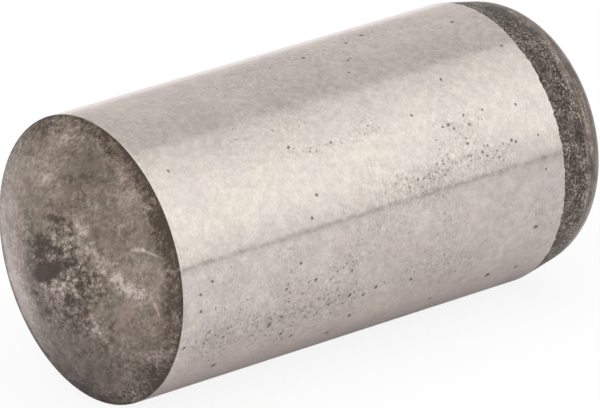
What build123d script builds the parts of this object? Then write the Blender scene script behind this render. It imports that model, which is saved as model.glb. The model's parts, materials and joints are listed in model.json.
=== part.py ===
from build123d import *
import math
import os

# Hardened and ground dowel pin, one turned solid.
# All sizes are in millimetres. The pin lies along +X, its domed head end at -X and its
# lead-in point end at +X, with +Z up. The origin is on the axis, half way along the
# ground surface, which is the surface that fits the reamed hole.

# Ground surface
nominal_diameter = 12.0
ground_length = 20.0

# Head end: a shallow dome with a nearly sharp rim
head_crown_radius = 12.0
head_rim_break = 0.08

# Point end: a slight taper that finds the hole, a turned rounding, then a shallow dome
lead_in_length = 1.6
lead_in_angle = 11.0
point_rounding = 1.8
point_crown_radius = 12.0

# Places that follow from the sizes
ground_radius = nominal_diameter / 2
head_rim_x = -ground_length / 2
point_rim_x = ground_length / 2


def crown_centre_distance(crown_radius, edge_radius, edge_centre_height):
    """Distance along the axis between a dome's centre and the centre of the edge arc inside it."""
    return math.sqrt((crown_radius - edge_radius) ** 2 - edge_centre_height**2)


def head_outline():
    """Dome and rim of the head end, from the axis out to the ground surface."""
    edge_height = ground_radius - head_rim_break
    inset = crown_centre_distance(head_crown_radius, head_rim_break, edge_height)
    crown_x = head_rim_x + inset
    meeting_angle = math.degrees(math.atan2(edge_height, inset))
    dome = CenterArc((crown_x, 0), head_crown_radius, 180, -meeting_angle)
    rim = CenterArc((head_rim_x, edge_height), head_rim_break, 180 - meeting_angle, meeting_angle - 90)
    return [dome, rim]


def point_outline():
    """Taper, rounding and dome of the point end, from the ground surface in to the axis."""
    taper = math.radians(lead_in_angle)
    ridge_x = point_rim_x + lead_in_length
    ridge_height = ground_radius - lead_in_length * math.tan(taper)
    edge_x = ridge_x - point_rounding * math.sin(taper)
    edge_height = ridge_height - point_rounding * math.cos(taper)
    inset = crown_centre_distance(point_crown_radius, point_rounding, edge_height)
    meeting_angle = math.degrees(math.atan2(edge_height, inset))
    start_angle = 90 - lead_in_angle
    lead_in = Line((point_rim_x, ground_radius), (ridge_x, ridge_height))
    rounding = CenterArc((edge_x, edge_height), point_rounding, start_angle, meeting_angle - start_angle)
    dome = CenterArc((edge_x - inset, 0), point_crown_radius, meeting_angle, -meeting_angle)
    return [lead_in, rounding, dome]


def dowel_pin():
    """The whole pin: half of its lengthwise section, turned about the axis."""
    head = head_outline()
    point = point_outline()
    ground = Line((head_rim_x, ground_radius), (point_rim_x, ground_radius))
    axis_line = Line(point[-1] @ 1, head[0] @ 0)
    outline = Wire(head + [ground] + point + [axis_line])
    section = Plane.XZ * make_face(outline)
    return revolve(section, axis=Axis.X)


pin = dowel_pin()
pin.label = "dowel_pin"
os.makedirs("parts", exist_ok=True)
export_step(pin, "parts/dowel_pin.step")

box = pin.bounding_box()
print("length", round(box.size.X, 3), "diameter", round(box.size.Z, 3), "volume", round(pin.volume, 2))
print("head tip", round(box.min.X, 4), "point tip", round(box.max.X, 4))
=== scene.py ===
import json
import math

import bpy
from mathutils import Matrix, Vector, noise


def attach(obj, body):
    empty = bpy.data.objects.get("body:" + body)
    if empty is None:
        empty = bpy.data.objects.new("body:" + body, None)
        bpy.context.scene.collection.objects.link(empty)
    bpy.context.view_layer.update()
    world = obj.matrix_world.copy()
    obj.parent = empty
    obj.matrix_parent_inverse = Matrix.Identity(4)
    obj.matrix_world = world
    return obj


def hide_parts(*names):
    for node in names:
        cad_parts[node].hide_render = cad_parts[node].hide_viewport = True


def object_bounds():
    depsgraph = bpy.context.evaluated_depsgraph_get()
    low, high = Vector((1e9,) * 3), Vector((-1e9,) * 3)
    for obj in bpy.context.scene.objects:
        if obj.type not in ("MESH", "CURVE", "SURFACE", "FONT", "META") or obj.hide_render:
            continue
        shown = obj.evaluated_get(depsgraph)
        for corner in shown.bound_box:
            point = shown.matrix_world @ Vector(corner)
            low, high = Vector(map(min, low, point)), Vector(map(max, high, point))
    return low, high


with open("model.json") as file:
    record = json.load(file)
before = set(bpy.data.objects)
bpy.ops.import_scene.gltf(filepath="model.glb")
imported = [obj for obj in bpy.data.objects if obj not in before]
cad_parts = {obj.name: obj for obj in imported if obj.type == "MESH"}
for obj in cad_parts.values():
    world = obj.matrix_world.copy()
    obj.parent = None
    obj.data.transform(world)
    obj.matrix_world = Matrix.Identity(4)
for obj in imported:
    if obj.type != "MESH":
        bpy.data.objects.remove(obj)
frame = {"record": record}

# A hardened dowel pin that lies along +X: a bright ground cylinder between a dark domed head
# at -X and a dark tapered point at +X. Everything is in metres, and mm() takes millimetres.
# A place on the ground cylinder is its x and its turn round the pin, where 0 degrees faces
# -Y, the side that the photograph shows, and 90 degrees faces up.

MM = 0.001

# The wander of the head's patches is drawn from this seed, so that it is the same each run
WANDER_SEED = 38
noise.seed_set(WANDER_SEED)


def mm(value):
    """Millimetres as metres."""
    return value * MM


# Sizes from the frame
cad_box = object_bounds()
ground_mount = frame["record"]["mounts"][0]
pin_radius = mm(ground_mount["dims"]["r_mm"])
half_ground = mm(ground_mount["dims"]["length_mm"]) / 2
head_tip_x = cad_box[0][0]
point_tip_x = cad_box[1][0]

# Sizes of the two ends, as the pin's drawing has them
head_crown_radius = mm(12.0)
head_rim_break = mm(0.08)
lead_in_length = mm(1.6)
lead_in_angle = math.radians(11.0)
point_rounding = mm(1.8)
point_crown_radius = mm(12.0)
rounding_start_x = half_ground + lead_in_length

# The turned finish of the point starts on the taper, a little before the rounding itself
turned_lead = mm(0.13)
turned_fade = mm(0.15)
# A lighter line where the turned finish starts: partly the worn end of the scale, partly a painted
# highlight
highlight_line_lead = mm(0.1)
highlight_line_half_width = mm(0.09)

# How far the ragged end of the grinding strays along the pin
grinding_stray = mm(0.055)

# Camera: fitted to the rims and the outline of the pin in the photograph
camera_azimuth = math.radians(-39.214)
camera_elevation = math.radians(22.208)
camera_distance = mm(296.625)
camera_aim = Vector((mm(0.471), mm(-0.448), mm(-0.136)))
camera_lens = 435.72
sensor_width = 36.0

# The zones of the surface, which are also the material slots of the mesh
HEAD, GROUND, POINT = 0, 1, 2

# The mesh: vertices round the widest rings, the fewest round a small one, and ring spacings
COLUMNS = 384
FEWEST_COLUMNS = 12
HEAD_PITCH = mm(0.11)
GROUND_PITCH = mm(0.143)
TAPER_PITCH = mm(0.09)
CROWN_PITCH = mm(0.13)


def edge_inset(crown_radius, edge_radius, edge_height):
    """Distance along the axis from a dome's centre to the centre of the edge arc that meets it."""
    return math.sqrt((crown_radius - edge_radius) ** 2 - edge_height**2)


def arc_points(centre_x, centre_height, radius, start, end, pitch):
    """Points (x, height) along an arc of the section, from start to end in degrees, start left out."""
    sweep = math.radians(end - start)
    steps = max(2, round(abs(sweep) * radius / pitch))
    points = []
    for step in range(1, steps + 1):
        angle = math.radians(start) + sweep * step / steps
        points.append((centre_x + radius * math.cos(angle), centre_height + radius * math.sin(angle)))
    return points


def line_points(start, end, pitch):
    """Points (x, height) along a straight stretch of the section, start left out."""
    steps = max(1, round(math.dist(start, end) / pitch))
    points = []
    for step in range(1, steps + 1):
        share = step / steps
        points.append((start[0] + (end[0] - start[0]) * share, start[1] + (end[1] - start[1]) * share))
    return points


def head_section():
    """The dome and the rim of the head, from the tip out to the ground surface."""
    edge_height = pin_radius - head_rim_break
    inset = edge_inset(head_crown_radius, head_rim_break, edge_height)
    meeting = math.degrees(math.atan2(edge_height, inset))
    dome = arc_points(inset - half_ground, 0, head_crown_radius, 180, 180 - meeting, HEAD_PITCH)
    rim = arc_points(-half_ground, edge_height, head_rim_break, 180 - meeting, 90, head_rim_break / 3)
    return dome + rim


def point_section():
    """The taper, the rounding and the dome of the point, from the ground surface in to the tip."""
    ridge_height = pin_radius - lead_in_length * math.tan(lead_in_angle)
    edge_x = rounding_start_x - point_rounding * math.sin(lead_in_angle)
    edge_height = ridge_height - point_rounding * math.cos(lead_in_angle)
    inset = edge_inset(point_crown_radius, point_rounding, edge_height)
    meeting = math.degrees(math.atan2(edge_height, inset))
    taper_end = 90 - math.degrees(lead_in_angle)
    taper = line_points((half_ground, pin_radius), (rounding_start_x, ridge_height), TAPER_PITCH)
    rounding = arc_points(edge_x, edge_height, point_rounding, taper_end, meeting, TAPER_PITCH)
    dome = arc_points(edge_x - inset, 0, point_crown_radius, meeting, 0, CROWN_PITCH)
    return taper + rounding + dome[:-1]


def section_stations():
    """The rings of the mesh from the head's tip to the point's tip, as (x, height, zone)."""
    head = head_section()
    ground = line_points(head[-1], (half_ground, pin_radius), GROUND_PITCH)
    stations = [(x, height, HEAD) for x, height in head]
    stations += [(x, height, GROUND) for x, height in ground]
    stations += [(x, height, POINT) for x, height in point_section()]
    return stations


# Marks read off the photograph. On the head a place is (across, up): millimetres from the axis, seen
# straight on, with -Y to the right. Each patch is a soft ellipse: (across, up, half width, half height,
# turn in degrees, amount), dark below zero.
HEAD_PATCHES = (
    (-1.05, 0.85, 0.6, 0.24, 0, -1.0),
    (-0.1, 0.85, 0.5, 0.18, -5, -0.8),
    (-1.3, 0.4, 0.5, 0.26, 20, -0.9),
    (-0.4, -0.1, 1.0, 0.3, 24, -1.15),
    (-1.15, -0.65, 0.7, 0.32, 15, -1.05),
    (-2.0, -0.25, 0.3, 0.12, 10, -0.5),
    (-0.55, 1.95, 0.38, 0.16, -10, -0.8),
    (0.5, -1.15, 0.5, 0.18, 0, -0.8),
    (1.5, -0.45, 0.35, 0.15, -10, -0.35),
    (-1.8, -1.68, 0.28, 0.11, 0, -0.6),
    (0.5, -2.28, 0.3, 0.1, 10, -0.4),
    (1.25, -1.78, 0.38, 0.11, 15, -0.4),
    (0.6, 0.35, 0.3, 0.13, 10, -0.5),
    (1.0, 0.75, 0.4, 0.22, -10, 0.4),
    (-0.8, -1.12, 0.38, 0.17, 5, 0.8),
    (0.4, -0.55, 0.8, 0.2, 22, 0.6),
    (0.0, 0.45, 0.6, 0.14, 15, 0.4),
    (1.2, 1.95, 0.4, 0.55, 25, 0.6),
    (2.1, 1.3, 0.55, 0.4, -30, 0.5),
    (2.95, 0.5, 0.7, 0.3, -25, 1.0),
    (4.0, 0.2, 0.75, 0.3, -10, 1.0),
    (4.1, 1.1, 1.1, 0.8, 0, 0.25),
    (-1.5, 3.6, 0.55, 0.65, -30, 0.5),
    (-1.7, 4.6, 0.45, 0.45, 20, 0.55),
    (-0.9, 5.2, 0.6, 0.4, 30, 0.7),
    (-0.6, 3.1, 0.7, 0.35, -20, 0.3),
    (2.6, 4.5, 0.55, 0.28, -40, 0.32),
    (3.4, 3.7, 0.5, 0.55, -40, 0.25),
    (2.2, -1.9, 0.55, 0.75, 10, 0.35),
    (3.4, -0.8, 0.9, 0.6, 0, 0.2),
    (-4.3, -1.5, 1.3, 2.0, 30, 0.7),
    (-3.2, -3.0, 1.2, 1.0, -40, 0.4),
    (-3.3, 3.0, 1.2, 0.9, 20, 0.25),
    (-4.5, 1.3, 1.0, 1.6, 0, 0.45),
    (-3.1, 0.4, 0.7, 1.6, 0, 0.35),
    (0.8, 0.6, 2.0, 1.6, 0, 0.27),
    (1.4, 4.2, 1.3, 1.2, 0, -0.14),
    (1.0, 5.6, 2.0, 0.35, 0, -0.16),
    (-2.8, 4.9, 0.9, 0.4, 40, -0.4),
    (4.3, -3.7, 0.8, 0.6, 40, -0.4),
    (5.0, 3.0, 0.5, 0.9, 25, -0.3),
    (0.8, -5.0, 3.0, 1.2, 5, -0.3),
)

# Where the rim of the head is dark, with its turn from -Y upwards in degrees:
# (distance from the axis where it starts, fade, turn, half width in degrees, amount)
DARK_RIMS = (
    (5.08, 0.4, 3, 25, 0.38),
    (5.4, 0.3, 50, 32, 0.42),
    (5.25, 0.4, -140, 35, 0.9),
    (5.4, 0.3, 0, math.inf, 0.1),
)
# Painted shade: a thin dark line along the very edge of the head, where the rim turns away: (distance from
# the axis, fade, amount)
PAINTED_EDGE_SHADE = (5.86, 0.06, 0.35)


def on_head(across, up):
    """A place on the head, square on to the axis, in metres."""
    return Vector((0.0, -mm(across), mm(up)))


# Light scratches on the head: (start, end, width)
HEAD_SCRATCHES = (
    (on_head(3.85, 1.9), on_head(4.3, 2.0), mm(0.12)),
    (on_head(4.3, 2.0), on_head(5.0, 1.85), mm(0.08)),
    (on_head(4.9, -0.1), on_head(5.1, -0.6), mm(0.08)),
)

# On the ground cylinder a place is (x, turn): millimetres along, and degrees round from -Y.
# Areas of heavy pitting: (x, turn, half length, half width in degrees, strength)
PITTED_AREAS = (
    (-4.5, -20, 4.5, 6, 0.8),
    (-5.5, -31, 4.0, 9, 0.35),
    (-1.5, 44, 2.8, 2.5, 0.85),
    (2.6, 19, 2.4, 6, 0.8),
    (6.3, 21, 2.6, 5, 0.8),
    (5.2, 34, 1.4, 6, 0.6),
    (-2.5, -6, 2.2, 4, 0.3),
    (7.0, 66, 2.2, 6, 0.3),
    (1.0, 88, 2.5, 9, 0.2),
    (0.0, -16, 14, 22, 0.36),
    (0.0, 82, 14, 16, 0.1),
    (-1.0, 93, 3.0, 5, 0.28),
    (4.5, 95, 3.0, 6, 0.33),
)
# Warm stains in the same terms
STAINS = (
    (1.8, -5, 1.0, 5, 0.5),
    (5.2, -1, 0.9, 4, 0.25),
    (0.1, -5, 0.9, 4, 0.25),
    (-1.0, 4, 1.8, 5, 0.15),
    (-6.5, 26, 1.2, 5, 0.15),
    (1.0, 76, 0.9, 3, 0.2),
)
# Painted shade and light on the steel, in the same terms: darker along the bottom above the floor and over
# the lower front towards the point, a darker and a lighter stretch along the reflected dark line near 12
# degrees, and slight changes along the top
PAINTED_SHADING_AREAS = (
    (9.0, -15, 7.0, 32, -0.1),
    (1.0, -20, 4.0, 22, -0.05),
    (9.0, 12, 3.0, 5, -0.08),
    (-8.0, 12, 3.5, 6, 0.06),
    (0.0, 86, 14.0, 10, 0.03),
    (0.0, -52, 16.0, 10, -0.14),
    (-4.0, 70, 6.0, 9, -0.035),
)
# Single pits: (x, turn, width)
PITS = (
    (8.6, -15, 0.2), (4.7, 37, 0.17), (4.4, 37, 0.13), (4.9, 35, 0.13), (5.3, 28, 0.13),
    (5.3, 30, 0.11), (5.7, 35, 0.13), (5.6, 39, 0.12), (6.6, 39, 0.11), (-3.2, 18, 0.17),
    (-2.7, 26, 0.15), (7.5, 24, 0.15), (7.7, 23, 0.12), (5.9, 23, 0.13), (6.1, 21, 0.14),
    (6.7, 19, 0.14), (5.5, 56, 0.15), (1.9, 72, 0.15), (9.3, 63, 0.15), (9.0, 9, 0.13),
    (8.9, 23, 0.11), (8.3, 37, 0.11), (2.4, 20, 0.13), (-8.9, 52, 0.15), (3.2, 45, 0.12),
    (-1.1, 44, 0.13), (-3.1, 47, 0.15), (-4.0, 2, 0.15), (-9.1, 2, 0.14), (-9.1, -5, 0.14),
    (-8.5, 6, 0.15), (-1.2, -20, 0.22), (-5.3, -22, 0.26), (-4.4, -30, 0.19), (-4.7, -20, 0.17),
    (-0.4, -22, 0.18), (0.2, -20, 0.2), (-3.2, -7, 0.15), (-4.7, -7, 0.13), (-1.3, -8, 0.13),
    (-3.7, -34, 0.19), (2.1, -22, 0.15), (6.8, -36, 0.28), (8.4, -37, 0.2), (4.0, -41, 0.2),
    (-0.7, -33, 0.2), (-1.4, -42, 0.22), (-9.7, -20, 0.2), (-7.5, -38, 0.28), (1.0, 90, 0.2),
    (3.4, 92, 0.19), (4.5, 95, 0.26), (8.4, 84, 0.2), (2.4, 79, 0.15), (2.6, 80, 0.13),
)
# Pits scattered by cells: (cell size, widest pit as a share of its cell)
SCATTERED_PITS = ((mm(0.16), 0.33), (mm(0.32), 0.22))


def clamped(value):
    """The value kept between 0 and 1."""
    return min(max(value, 0.0), 1.0)


def bell(value):
    """1 at zero, falling smoothly on both sides to almost nothing at 2."""
    return math.exp(-value * value)


def turn_at(y, z):
    """Degrees round the pin from -Y upwards."""
    return math.degrees(math.atan2(z, -y))


def patches_at(across, up):
    """The summed strength of the head's patches at a place."""
    total = 0.0
    for centre_across, centre_up, half_width, half_height, turn, amount in HEAD_PATCHES:
        cos, sin = math.cos(math.radians(turn)), math.sin(math.radians(turn))
        along = ((across - centre_across) * cos + (up - centre_up) * sin) / half_width
        beside = ((up - centre_up) * cos - (across - centre_across) * sin) / half_height
        total += amount * bell(along) * bell(beside)
    return total


def head_tone(x, y, z):
    """How light the head is at a place, from about -1 to 1, and 0 off the head: its patches and the dark
    stretches of its rim, less a thin line of painted shade along its very edge.
    """
    if x >= -half_ground / MM + 0.2:
        return 0.0
    across, up = -y, z
    place = Vector((across, up, 0.0))
    wander = noise.noise_vector(place / 0.9) * 0.2 + noise.noise_vector(place / 0.33) * 0.18
    tone = patches_at(across + wander.x, up + wander.y)
    reach = math.hypot(across, up)
    ragged_reach = reach + wander.z * 0.6
    for start, fade, turn, half_width, amount in DARK_RIMS:
        tone -= amount * clamped((ragged_reach - start) / fade) * bell((turn_at(y, z) - turn) / half_width)
    # Painted shade along the very edge, where the rim turns away
    edge_start, edge_fade, edge_amount = PAINTED_EDGE_SHADE
    return tone - edge_amount * clamped((reach - edge_start) / edge_fade)


def head_core(x, y, z):
    """How rough the head is: 1 over its centre, falling to 0 some way from the rim."""
    across, up = -y, z
    drift = noise.noise(Vector((y, z, 3)) / 1.3) * 0.4
    centre = 1.25 * bell((across - 0.3) / 2.3) * bell((up - 0.1) / 2.3) + drift
    flecked = head_tone(x, y, z) * 0.9 if across > -2.2 else 0.0
    return clamped(max(centre, flecked))


def areas_at(areas, x, turn):
    """The summed strength of soft areas at a place on the ground cylinder."""
    total = 0.0
    for centre_x, centre_turn, half_length, half_width, amount in areas:
        away = (turn - centre_turn + 180) % 360 - 180
        total += amount * bell((x - centre_x) / half_length) * bell(away / half_width)
    return total


def pitting(x, y, z):
    """How heavily the ground surface is pitted, from 0 to 1."""
    drift = noise.noise(Vector((x, y, z)) * 0.45) * 0.5
    return clamped(areas_at(PITTED_AREAS, x, turn_at(y, z)) + drift)


def stain(x, y, z):
    """How strong the warm stain is, from 0 to 1."""
    drift = noise.noise(Vector((x, y, z)) * 0.6 + Vector((7, 0, 0))) * 0.25
    return clamped(areas_at(STAINS, x, turn_at(y, z)) + drift)


def painted_shading(x, y, z):
    """The painted light and shade on the steel: how much lighter, above zero, or darker, below it, the
    steel is made at a place.
    """
    return areas_at(PAINTED_SHADING_AREAS, x, turn_at(y, z))


def off_highlight_band(x, y, z):
    """0 along the band where the soft box's highlight lies, 1 away from it: painted for the highlight, the
    mottling is weaker there and the steel 2 percent darker.
    """
    return 1.0 - bell(((turn_at(y, z) - 40) / 20) ** 2)


def point_smooth(x, y, z):
    """0 on the granular taper, 1 on the turned rounding and the crown."""
    return clamped((mm(x) - rounding_start_x + turned_lead) / turned_fade + 0.5)


def point_wear_and_highlight(x, y, z):
    """1 on the lighter line where the turned finish of the point starts, 0 away from it: partly the worn
    end of the scale, partly a painted highlight.
    """
    return bell((mm(x) - rounding_start_x + highlight_line_lead) / highlight_line_half_width)


# The marks that the mesh carries for its materials, each measured from x, y and z in millimetres
SURFACE_MARKS = (head_tone, head_core, pitting, stain, painted_shading, off_highlight_band, point_smooth, point_wear_and_highlight)


def columns_at(height):
    """How many vertices a ring of this height has: halved towards the tips, where rings are small."""
    count = COLUMNS
    while count > FEWEST_COLUMNS and height < pin_radius * count / COLUMNS / 2:
        count //= 2
    return count


def ring_vertices(stations):
    """The vertices from tip to tip, and each ring as (its first vertex, its count, its zone)."""
    verts = [(head_tip_x, 0.0, 0.0)]
    rings = []
    for x, height, zone in stations:
        count = columns_at(height)
        rings.append((len(verts), count, zone))
        for column in range(count):
            angle = 2 * math.pi * column / count
            verts.append((x, -height * math.cos(angle), height * math.sin(angle)))
    verts.append((point_tip_x, 0.0, 0.0))
    return verts, rings


def make_grinding_ragged(verts, rings):
    """Let the last ring of the ground surface stray along the pin, against the taper."""
    first, count, _ = [ring for ring in rings if ring[2] == GROUND][-1]
    for index in range(first, first + count):
        x, y, z = verts[index]
        coarse = noise.noise(Vector((y, z, 0)) / mm(0.35))
        fine = noise.noise(Vector((y, z, 1)) / mm(0.13))
        verts[index] = (x + grinding_stray * (coarse * 0.7 + fine - 0.3), y, z)


def strip_faces(start_a, count_a, start_b, count_b):
    """The faces between two rings with as many vertices, or twice as many in one of them."""
    faces = []
    for column in range(min(count_a, count_b)):
        after = (column + 1) % min(count_a, count_b)
        fine = 2 * column
        if count_a == count_b:
            faces.append((start_a + column, start_b + column, start_b + after, start_a + after))
        elif count_a < count_b:
            faces.append((start_a + column, start_b + fine, start_b + fine + 1))
            faces.append((start_a + column, start_b + fine + 1, start_a + after))
            faces.append((start_a + after, start_b + fine + 1, start_b + (fine + 2) % count_b))
        else:
            faces.append((start_b + column, start_a + fine + 1, start_a + fine))
            faces.append((start_b + column, start_b + after, start_a + fine + 1))
            faces.append((start_b + after, start_a + (fine + 2) % count_a, start_a + fine + 1))
    return faces


def pin_faces(rings, tip):
    """The faces, a fan at each tip and a strip between each two rings, and the zone of each."""
    start, count, _ = rings[0]
    faces = [(0, start + column, start + (column + 1) % count) for column in range(count)]
    zones = [HEAD] * count
    for (start_a, count_a, _), (start_b, count_b, zone) in zip(rings, rings[1:]):
        strip = strip_faces(start_a, count_a, start_b, count_b)
        faces += strip
        zones += [zone] * len(strip)
    start, count, _ = rings[-1]
    faces += [(start + column, tip, start + (column + 1) % count) for column in range(count)]
    zones += [POINT] * count
    return faces, zones


def build_pin():
    """The whole pin as one closed mesh with three zones, which carries the surface marks."""
    verts, rings = ring_vertices(section_stations())
    make_grinding_ragged(verts, rings)
    faces, zones = pin_faces(rings, len(verts) - 1)
    mesh = bpy.data.meshes.new("dowel_pin_surface")
    mesh.from_pydata(verts, [], faces)
    mesh.polygons.foreach_set("material_index", zones)
    mesh.polygons.foreach_set("use_smooth", [True] * len(faces))
    for measure in SURFACE_MARKS:
        marks = mesh.attributes.new(measure.__name__, "FLOAT", "POINT")
        for mark, (x, y, z) in zip(marks.data, verts):
            mark.value = measure(x / MM, y / MM, z / MM)
    mesh.update()
    print("pin mesh:", len(verts), "vertices,", sum(len(face) - 2 for face in faces), "triangles")
    return bpy.data.objects.new("pin_body", mesh)


# The sockets of a Mix node that mixes colours
MIX_COLOUR_LOW, MIX_COLOUR_HIGH, MIX_COLOUR_RESULT = 6, 7, 2

# The range that a noise texture mostly keeps to
NOISE_LOW, NOISE_HIGH = 0.3, 0.7


def rgb(red, green, blue):
    """A colour as a node takes it."""
    return (red, green, blue, 1.0)


class Nodes:
    """A short way to write a material's or the world's nodes."""

    def __init__(self, owner):
        owner.use_nodes = True
        self.tree = owner.node_tree
        self.tree.nodes.clear()

    def add(self, kind, inputs=None, **settings):
        """A new node with its settings, and its inputs linked or set."""
        node = self.tree.nodes.new(kind)
        for name, value in settings.items():
            setattr(node, name, value)
        for name, value in (inputs or {}).items():
            socket = node.inputs[name]
            if isinstance(value, bpy.types.NodeSocket):
                self.tree.links.new(value, socket)
            else:
                socket.default_value = value
        return node

    def place(self):
        """The place on the object, in metres."""
        return self.add("ShaderNodeTexCoord").outputs["Object"]

    def mark(self, name):
        """A mark that the mesh carries."""
        return self.add("ShaderNodeAttribute", attribute_name=name).outputs["Fac"]

    def separate(self, vector):
        """The x, y and z of a vector."""
        return self.add("ShaderNodeSeparateXYZ", {0: vector}).outputs

    def combine(self, x, y=0.0, z=0.0):
        """The vector with this x, y and z."""
        return self.add("ShaderNodeCombineXYZ", {0: x, 1: y, 2: z}).outputs[0]

    def math(self, operation, a, b=0.0, c=0.0, clamp=False):
        """The result of a sum on numbers."""
        node = self.add("ShaderNodeMath", {0: a, 1: b, 2: c}, operation=operation, use_clamp=clamp)
        return node.outputs[0]

    def chain(self, operation, first, *others):
        """The numbers taken together one after the other."""
        for other in others:
            first = self.math(operation, first, other)
        return first

    def total(self, *numbers):
        """The sum of the numbers."""
        return self.chain("ADD", *numbers)

    def product(self, *numbers):
        """The product of the numbers."""
        return self.chain("MULTIPLY", *numbers)

    def vector(self, operation, a, b):
        """The vector that a sum on two vectors gives."""
        return self.add("ShaderNodeVectorMath", {0: a, 1: b}, operation=operation).outputs[0]

    def measure(self, operation, a, b):
        """The number that a sum on two vectors gives."""
        return self.add("ShaderNodeVectorMath", {0: a, 1: b}, operation=operation).outputs["Value"]

    def scaled(self, vector, amount):
        """The vector, or colour, times a number."""
        return self.add("ShaderNodeVectorMath", {0: vector, "Scale": amount}, operation="SCALE").outputs[0]

    def reach(self, y, z):
        """The distance from the pin's axis."""
        return self.math("SQRT", self.total(self.product(y, y), self.product(z, z)))

    def remap(self, value, low, high, to_low=0.0, to_high=1.0, smooth=False):
        """The value with low to high brought to to_low to to_high, and held beyond them."""
        kind = "SMOOTHSTEP" if smooth else "LINEAR"
        inputs = {"Value": value, "From Min": low, "From Max": high, "To Min": to_low, "To Max": to_high}
        return self.add("ShaderNodeMapRange", inputs, interpolation_type=kind).outputs[0]

    def between(self, share, low, high):
        """From low, where the share is 0, to high, where it is 1."""
        return self.remap(share, 0.0, 1.0, low, high)

    def swing(self, texture, low, high):
        """From low to high over the usual range of a noise."""
        return self.remap(texture, NOISE_LOW, NOISE_HIGH, low, high)

    def noise(self, place, size, detail=2.0, roughness=0.5, distortion=0.0, output="Fac"):
        """Noise whose coarsest forms have about this size."""
        inputs = {"Vector": place, "Scale": 1.0 / size, "Detail": detail, "Roughness": roughness}
        inputs["Distortion"] = distortion
        return self.add("ShaderNodeTexNoise", inputs).outputs[output]

    def warped(self, place, size, stray, detail):
        """The place moved about by a fine noise, so that round forms come out ragged."""
        wander = self.vector("SUBTRACT", self.noise(place, size, detail, output="Color"), (0.5, 0.5, 0.5))
        return self.vector("ADD", place, self.scaled(wander, stray))

    def cells(self, place, size):
        """Cells of this size: the distance from the nearest middle, and each cell's own chance."""
        node = self.add("ShaderNodeTexVoronoi", {"Vector": place, "Scale": 1.0 / size})
        chance = self.add("ShaderNodeSeparateColor", {0: node.outputs["Color"]}).outputs[0]
        return node.outputs["Distance"], chance

    def stroke(self, place, start, end, width):
        """1 on a straight stroke between two places, falling to 0 at its width."""
        run = end - start
        away = self.vector("SUBTRACT", place, start)
        share = self.measure("DOT_PRODUCT", away, run / run.length_squared)
        nearest = self.scaled(run, self.math("MULTIPLY", share, 1.0, clamp=True))
        return self.remap(self.measure("DISTANCE", away, nearest), width * 0.3, width, 1.0, 0.0)

    def colour(self, share, low, high):
        """The colour between two colours."""
        inputs = {"Factor": share, MIX_COLOUR_LOW: low, MIX_COLOUR_HIGH: high}
        return self.add("ShaderNodeMix", inputs, data_type="RGBA").outputs[MIX_COLOUR_RESULT]

    def ramp(self, level, stops):
        """The colour for a level from -1 to 1, by stops of (share, colour)."""
        node = self.add("ShaderNodeValToRGB", {0: self.remap(level, -1.0, 1.0)})
        elements = node.color_ramp.elements
        while len(elements) < len(stops):
            elements.new(1.0)
        for element, (position, colour) in zip(elements, stops):
            element.position = position
            element.color = rgb(*colour)
        return node.outputs["Color"]

    def surface(self, inputs, height, relief):
        """The material's surface, with its relief from a height in metres."""
        bump = self.add("ShaderNodeBump", {"Height": height, "Distance": 1.0, "Strength": relief})
        shader = self.add("ShaderNodeBsdfPrincipled", inputs | {"Normal": bump.outputs["Normal"]})
        self.add("ShaderNodeOutputMaterial", {"Surface": shader.outputs[0]})


def steel_lightness(nodes, place, heavy, grain, mottle, cloud):
    """How light the ground steel is, where 1 is clean steel."""
    off_band = nodes.mark("off_highlight_band")
    depth = nodes.between(heavy, 0.125, 0.36)
    grained = nodes.math("SUBTRACT", 1.01, nodes.product(nodes.remap(grain, 0.68, 0.35), depth))
    # Painted for the highlight: weaker mottling and a 2 percent darker steel along the band where the soft
    # box is reflected
    uneven = nodes.product(nodes.swing(mottle, -0.11, 0.065), nodes.between(off_band, 1.0, 1.3))
    broad = nodes.product(nodes.swing(cloud, -0.03, 0.02), nodes.between(off_band, 1.0, 2.3))
    broad = nodes.total(broad, nodes.between(off_band, 1.0, 1.02))
    specks = nodes.remap(nodes.noise(place, mm(0.12), detail=1.0), 0.56, 0.72)
    specks = nodes.product(specks, nodes.remap(heavy, 0.0, 0.5, 0.04, 0.16))
    light = nodes.total(nodes.product(grained, nodes.total(uneven, 1.0), broad), specks)
    # Painted light and shade, carried by the mesh, lighten or darken the steel last
    return nodes.product(light, nodes.total(nodes.mark("painted_shading"), 1.0))


def steel_pits(nodes, place, heavy):
    """1 in the pits: scattered ones, more and wider where the pitting is heavy, and single ones."""
    ragged = nodes.warped(place, mm(0.09), mm(0.11), detail=1.0)
    pits = []
    for cell_size, widest in SCATTERED_PITS:
        away, chance = nodes.cells(ragged, cell_size)
        width = nodes.remap(nodes.math("MULTIPLY_ADD", heavy, 0.5, chance), 0.86, 1.2, 0.0, widest)
        inside = nodes.remap(nodes.math("SUBTRACT", away, width), -0.15, 0.08, 1.0, 0.0)
        pits.append(nodes.product(inside, nodes.remap(width, 0.0, widest * 0.6), 0.64))
    for x, turn, width in PITS:
        angle = math.radians(turn)
        centre = (mm(x), -pin_radius * math.cos(angle), pin_radius * math.sin(angle))
        away = nodes.measure("DISTANCE", ragged, centre)
        pits.append(nodes.remap(away, mm(width) * 0.15, mm(width) * 0.65, 1.0, 0.0))
    return nodes.chain("MAXIMUM", *pits)


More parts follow.
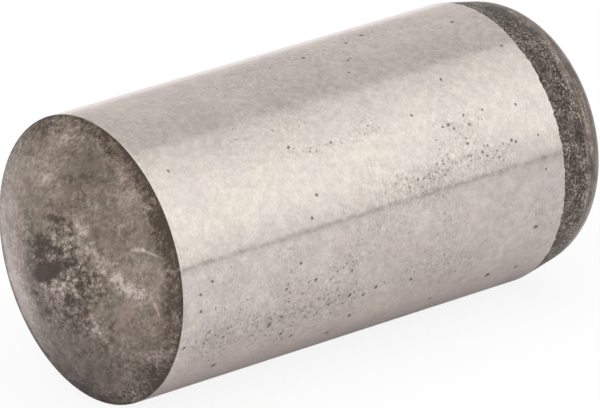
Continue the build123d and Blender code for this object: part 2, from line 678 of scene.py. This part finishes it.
def ground_steel():
    """Ground and hardened steel: satin, warm grey, with a fine grain, stains and small pits."""
    material = bpy.data.materials.new("ground_steel")
    nodes = Nodes(material)
    place = nodes.place()
    heavy = nodes.mark("pitting")
    # The grain is a little longer round the pin than along it
    grain = nodes.noise(nodes.vector("MULTIPLY", place, (1.0, 0.65, 0.65)), mm(0.1), roughness=0.65)
    mottle = nodes.noise(place, mm(0.34), detail=3.0, roughness=0.6)
    cloud = nodes.noise(place, mm(2.2), detail=3.0, roughness=0.55)
    pit = steel_pits(nodes, place, heavy)
    light = steel_lightness(nodes, place, heavy, grain, mottle, cloud)
    light = nodes.product(light, nodes.between(pit, 1.0, 0.24))
    steel = nodes.colour(nodes.remap(cloud, 0.35, 0.65), rgb(0.625, 0.555, 0.53), rgb(0.625, 0.563, 0.515))
    steel = nodes.colour(nodes.mark("stain"), steel, rgb(0.60, 0.50, 0.43))
    inputs = {
        "Base Color": nodes.scaled(steel, light),
        "Metallic": 1.0,
        "Specular Tint": rgb(1.0, 0.95, 0.935),
        "Roughness": nodes.total(nodes.swing(mottle, 0.11, 0.17), nodes.product(pit, 0.3)),
    }
    height = nodes.math("MULTIPLY_ADD", grain, mm(0.001), nodes.product(pit, mm(-0.02)))
    nodes.surface(inputs, height, relief=1.0)
    return material


def scale_blotches(nodes, flakes, blotch, core):
    """Blotches of the head's scale: ragged over its centre, smoky away from it."""
    smoke = nodes.noise(flakes, mm(0.48), detail=4.0, roughness=0.62, distortion=1.2)
    ragged = nodes.product(nodes.swing(blotch, -1.0, 1.0), nodes.between(core, 0.12, 0.4))
    smoky = nodes.product(nodes.swing(smoke, -1.0, 1.0), nodes.between(core, 0.26, 0.05))
    return nodes.total(ragged, smoky)


def scale_grain(nodes, flakes, core, reach):
    """Fine grain, stronger in sandy stretches, over the centre and at the rim, with thin veins."""
    grain = nodes.noise(flakes, mm(0.13), detail=3.0, roughness=0.7)
    sandy = nodes.remap(nodes.noise(flakes, mm(1.1), detail=3.0, roughness=0.6), 0.4, 0.6, 0.3, 1.25)
    amount = nodes.math("MAXIMUM", nodes.product(sandy, 0.33), nodes.product(core, 0.46))
    amount = nodes.total(amount, nodes.remap(reach, mm(5.1), mm(5.5), 0.0, 0.3))
    # The veins follow a swirl's middle level: light away from the centre, dark cracks over it
    swirl = nodes.noise(flakes, mm(0.36), detail=3.0, roughness=0.6, distortion=0.8)
    vein = nodes.remap(nodes.math("ABSOLUTE", nodes.math("SUBTRACT", swirl, 0.5)), 0.0, 0.045, 1.0, 0.0)
    vein = nodes.product(vein, nodes.remap(core, 0.05, 0.6, 0.15, -0.5))
    return nodes.total(nodes.product(nodes.swing(grain, -1.0, 1.0), amount), vein)


def scale_crumbs(nodes, flakes, core):
    """Crumbs of the head's scale, each with its own lightness and dark gaps round it."""
    away, chance = nodes.cells(nodes.warped(flakes, mm(0.16), mm(0.32), detail=2.0), mm(0.24))
    crumb = nodes.total(nodes.between(chance, -0.3, 0.3), nodes.remap(away, 0.25, 0.75, 0.45, -0.8))
    return nodes.product(crumb, nodes.remap(core, 0.15, 1.0, 0.1, 0.72))


def rim_nicks(nodes, flakes, cloud, reach, z):
    """Small bright nicks near the head's rim, in some stretches of it and mostly low."""
    nicks = nodes.remap(nodes.noise(flakes, mm(0.23), detail=3.0, roughness=0.7), 0.52, 0.72, 0.0, 0.8)
    near_rim = nodes.remap(reach, mm(4.9), mm(5.4))
    stretches = nodes.remap(cloud, 0.44, 0.56)
    low = nodes.remap(z, mm(0.5), mm(2.5), 1.0, 0.2)
    return nodes.product(nicks, near_rim, stretches, low)


def head_scratches(nodes, place):
    """The light scratches on the head, seen along the axis."""
    across_up = nodes.vector("MULTIPLY", place, (0.0, 1.0, 1.0))
    strokes = [nodes.stroke(across_up, start, end, width) for start, end, width in HEAD_SCRATCHES]
    return nodes.product(nodes.total(*strokes), 0.5)


HEAD_COLOURS = (
    (0.0, (0.062, 0.045, 0.036)),
    (0.22, (0.084, 0.062, 0.05)),
    (0.34, (0.14, 0.111, 0.092)),
    (0.5, (0.208, 0.168, 0.141)),
    (0.72, (0.33, 0.278, 0.242)),
    (1.0, (0.53, 0.465, 0.43)),
)


def head_scale():
    """Hardening scale on the domed head: brown-grey and blotchy, with a rough dark centre."""
    material = bpy.data.materials.new("head_scale")
    nodes = Nodes(material)
    place = nodes.place()
    core = nodes.mark("head_core")
    x, y, z = nodes.separate(place)
    reach = nodes.reach(y, z)
    # The flakes are up to twice as wide as they are high towards +Y, and rise towards -Y
    narrowing = nodes.math("MULTIPLY_ADD", y, -0.025 / MM, 0.74)
    flakes = nodes.combine(x, nodes.product(y, narrowing), nodes.math("MULTIPLY_ADD", y, 0.32, z))
    blotch = nodes.noise(flakes, mm(0.5), detail=5.0, roughness=0.72)
    cloud = nodes.noise(flakes, mm(1.5), detail=3.0, roughness=0.55)
    level = nodes.total(
        nodes.mark("head_tone"),
        nodes.swing(cloud, -0.14, 0.14),
        scale_blotches(nodes, flakes, blotch, core),
        scale_grain(nodes, flakes, core, reach),
        scale_crumbs(nodes, flakes, core),
        rim_nicks(nodes, flakes, cloud, reach, z),
        head_scratches(nodes, place),
    )
    # Warmer towards the top, and a slow drift between an olive and a pink cast
    lower = nodes.remap(z, mm(-4.0), mm(4.0), 1.0, 0.0)
    hue = nodes.colour(lower, rgb(1.0, 0.99, 0.95), rgb(0.95, 0.955, 0.97))
    drift = nodes.math("MULTIPLY_ADD", level, 0.15, nodes.noise(flakes, mm(0.9)))
    cast = nodes.colour(nodes.remap(drift, 0.38, 0.62), rgb(0.975, 1.0, 0.95), rgb(1.03, 0.99, 1.0))
    tint = nodes.vector("MULTIPLY", hue, cast)
    inputs = {
        "Base Color": nodes.vector("MULTIPLY", nodes.ramp(level, HEAD_COLOURS), tint),
        "Metallic": 0.7,
        "Roughness": nodes.swing(blotch, 0.58, 0.42),
    }
    nodes.surface(inputs, nodes.product(level, mm(0.016)), relief=0.8)
    return material


def turned_rings(nodes, place):
    """Fine rings round the axis, left by turning: plain on the rounding, faint on the crown."""
    x, y, z = nodes.separate(place)
    reach = nodes.reach(y, z)
    # A small part of the place itself lets the rings wobble
    ringed = nodes.combine(nodes.math("SUBTRACT", reach, x))
    ringed = nodes.vector("ADD", ringed, nodes.scaled(place, 0.06))
    rings = nodes.swing(nodes.noise(ringed, mm(0.2), detail=3.0, roughness=0.6), -0.5, 0.5)
    return nodes.product(rings, nodes.remap(reach, mm(4.3), mm(5.3), 0.1, 1.0))


POINT_COLOURS = (
    (0.0, (0.028, 0.022, 0.018)),
    (0.35, (0.128, 0.101, 0.083)),
    (0.5, (0.205, 0.168, 0.141)),
    (0.75, (0.36, 0.315, 0.283)),
    (1.0, (0.52, 0.472, 0.435)),
)


def point_scale():
    """Scale on the point: dark and granular on the taper, smoother and lighter round the edge."""
    material = bpy.data.materials.new("point_scale")
    nodes = Nodes(material)
    place = nodes.place()
    smooth = nodes.mark("point_smooth")
    grain = nodes.noise(place, mm(0.1), roughness=0.6)
    patchy = nodes.noise(place, mm(0.9))
    blotch = nodes.noise(place, mm(0.5), detail=4.0, roughness=0.65)
    fine = nodes.product(nodes.remap(grain, 0.33, 0.67, -1.0, 1.0), nodes.between(smooth, 0.9, 0.35))
    level = nodes.total(
        nodes.product(fine, nodes.remap(patchy, 0.38, 0.55, 0.5, 1.0)),
        nodes.swing(blotch, -0.4, 0.4),
        nodes.swing(patchy, -0.15, 0.15),
        nodes.between(smooth, -0.48, -0.23),
        # A lighter line where the turned finish starts: partly wear, partly a painted highlight
        nodes.product(nodes.mark("point_wear_and_highlight"), nodes.remap(blotch, 0.35, 0.6, 0.06, 0.32)),
        nodes.product(turned_rings(nodes, place), smooth),
    )
    hue = nodes.colour(smooth, rgb(1.0, 1.0, 1.0), rgb(1.03, 0.995, 0.965))
    inputs = {
        "Base Color": nodes.vector("MULTIPLY", nodes.ramp(level, POINT_COLOURS), hue),
        "Metallic": 0.7,
        "Roughness": nodes.between(smooth, 0.55, 0.4),
    }
    height = nodes.product(grain, nodes.between(smooth, mm(0.03), mm(0.006)))
    nodes.surface(inputs, height, relief=0.8)
    return material


def add_floor():
    """A plain white board under the pin, which keeps the pin's shadow."""
    near, far, side = mm(-233.0), mm(600.0), mm(600.0)
    mesh = bpy.data.meshes.new("floor")
    corners = [(-side, near), (side, near), (side, far), (-side, far)]
    mesh.from_pydata([(x, y, -pin_radius) for x, y in corners], [], [(0, 1, 2, 3)])
    floor = bpy.data.objects.new("floor", mesh)
    bpy.context.scene.collection.objects.link(floor)
    material = bpy.data.materials.new("floor_white")
    nodes = Nodes(material)
    matte = nodes.add("ShaderNodeBsdfDiffuse", {"Color": rgb(0.885, 0.88, 0.895)})
    white = nodes.add("ShaderNodeEmission", {"Color": rgb(1, 1, 1), "Strength": 1.0})
    # The camera sees mostly plain white, with a share of the matte board for the shadow
    seen = nodes.add("ShaderNodeLightPath").outputs["Is Camera Ray"]
    whiteness = nodes.product(seen, 0.88)
    mix = nodes.add("ShaderNodeMixShader", {0: whiteness, 1: matte.outputs[0], 2: white.outputs[0]})
    nodes.add("ShaderNodeOutputMaterial", {"Surface": mix.outputs[0]})
    mesh.materials.append(material)


def add_world():
    """A white light tent with one large soft box along the front of the pin and a light above."""
    world = bpy.data.worlds.new("studio")
    bpy.context.scene.world = world
    nodes = Nodes(world)
    direction = nodes.add("ShaderNodeTexCoord").outputs["Generated"]
    x, y, z = nodes.separate(direction)
    # Degrees round the X axis, from -Y upwards, as on the pin
    turn = nodes.math("DEGREES", nodes.math("ARCTAN2", z, nodes.product(y, -1.0)))
    point_side = nodes.remap(x, 0.0, 0.35, smooth=True)
    # The soft box starts at the horizon, is brightest from 26 to 55 degrees and ends past the top
    foot = nodes.remap(turn, -0.5, 0.8, smooth=True)
    rise = nodes.remap(turn, 0.0, 26.0, 0.5, 1.0)
    fall = nodes.remap(turn, 55.0, 96.0, 1.0, 0.4)
    cut = nodes.remap(turn, 95.0, 102.0, 1.0, 0.0, smooth=True)
    box = nodes.product(rise, foot, fall, cut, point_side)
    # A thin dark gap below the box, which the pin shows as the line along its front
    from_gap = nodes.math("ABSOLUTE", nodes.total(turn, 1.3))
    gap = nodes.product(nodes.remap(from_gap, 1.2, 2.6, 1.0, 0.0), point_side)
    tent = nodes.math("MULTIPLY_ADD", gap, -0.45, 0.84)
    above = nodes.remap(z, 0.84, 0.92, 0.0, 0.3, smooth=True)
    toward_head = nodes.measure("DOT_PRODUCT", direction, (-0.62, -0.62, 0.48))
    fill = nodes.remap(toward_head, 0.72, 0.86, 0.0, 0.9, smooth=True)
    strength = nodes.total(nodes.math("MULTIPLY_ADD", box, 0.59, tent), above, fill)
    glow = nodes.colour(box, rgb(1, 1, 1), rgb(0.97, 0.99, 0.975))
    sky = nodes.add("ShaderNodeBackground", {"Color": glow, "Strength": strength})
    white = nodes.add("ShaderNodeBackground", {"Color": rgb(1, 1, 1), "Strength": 1.0})
    seen = nodes.add("ShaderNodeLightPath").outputs["Is Camera Ray"]
    mix = nodes.add("ShaderNodeMixShader", {0: seen, 1: sky.outputs[0], 2: white.outputs[0]})
    nodes.add("ShaderNodeOutputWorld", {"Surface": mix.outputs[0]})


def add_camera():
    """The camera at the photograph's viewing angle."""
    data = bpy.data.cameras.new("camera")
    data.lens = camera_lens
    data.sensor_width = sensor_width
    data.sensor_fit = "HORIZONTAL"
    data.clip_start = mm(10.0)
    data.clip_end = mm(10000.0)
    camera = bpy.data.objects.new("camera", data)
    flat = math.cos(camera_elevation)
    back_x = math.sin(camera_azimuth) * flat
    back_y = -math.cos(camera_azimuth) * flat
    back = Vector((back_x, back_y, math.sin(camera_elevation)))
    camera.location = camera_aim + back * camera_distance
    camera.rotation_euler = back.to_track_quat("Z", "Y").to_euler()
    bpy.context.scene.collection.objects.link(camera)
    bpy.context.scene.camera = camera


pin = build_pin()
bpy.context.scene.collection.objects.link(pin)
for material in (head_scale(), ground_steel(), point_scale()):
    pin.data.materials.append(material)
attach(pin, "root")
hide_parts("dowel_pin")

add_floor()
add_world()
add_camera()
bpy.context.scene.view_settings.view_transform = "Standard"
